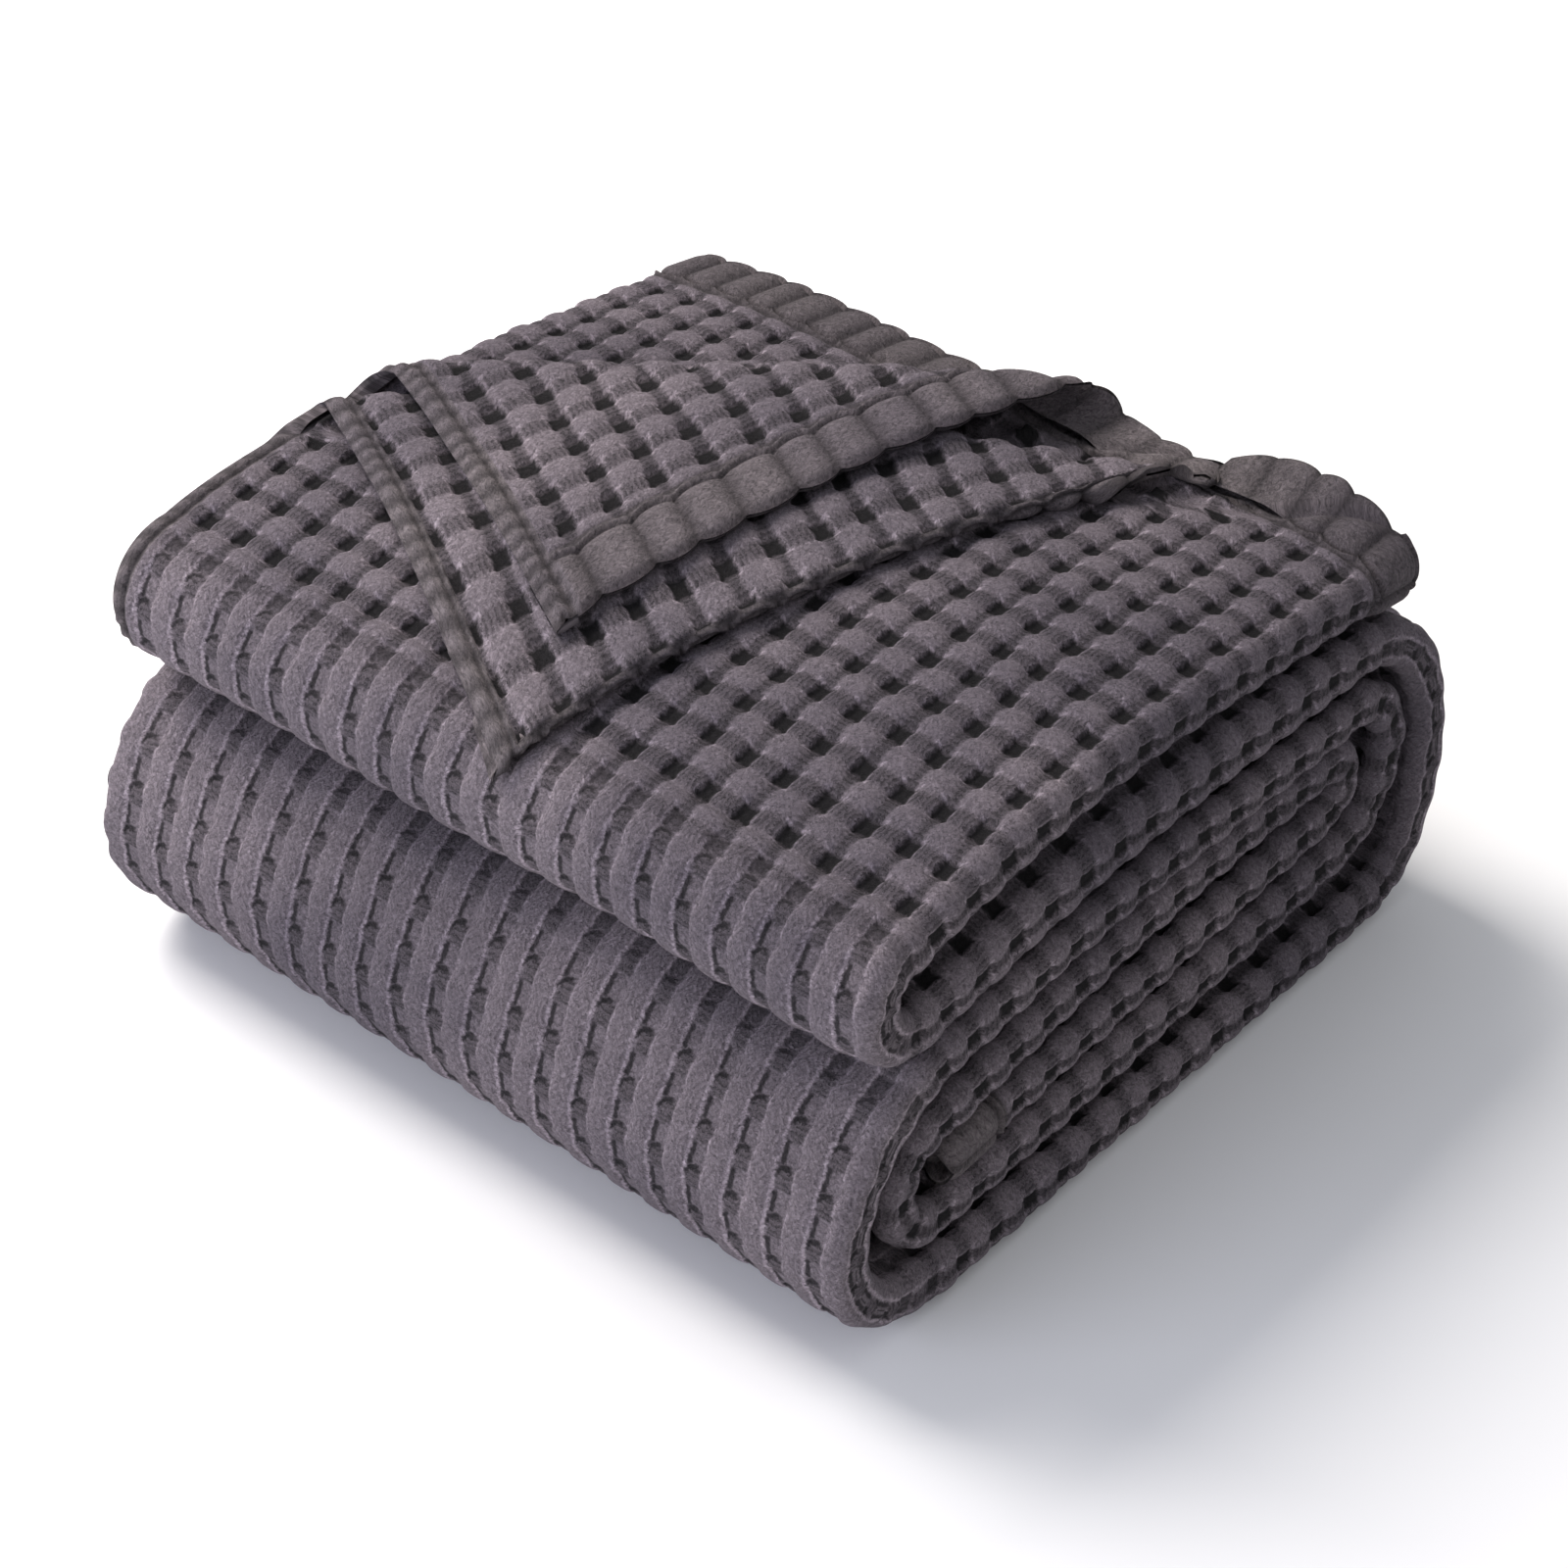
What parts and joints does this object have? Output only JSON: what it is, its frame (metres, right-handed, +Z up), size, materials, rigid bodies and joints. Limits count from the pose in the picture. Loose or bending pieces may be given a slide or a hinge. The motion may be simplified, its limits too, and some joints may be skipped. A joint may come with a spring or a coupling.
{
  "type": "folded waffle weave cotton blanket",
  "caption": "Charcoal grey waffle weave cotton blanket, folded into a soft stack with two corners turned back and a ribbed end hem.",
  "frame": {"origin": "on the surface that the stack lies on, under the middle of its box", "axes": "+X towards the long folded edge, +Y away from the round front folds, +Z up"},
  "size_m": [0.3703, 0.3651, 0.2078],
  "materials": {
    "charcoal_cotton": "matt washed cotton, waffle weave"
  },
  "bodies": {
    "root": {"blanket": "charcoal_cotton"}
  },
  "joints": []
}
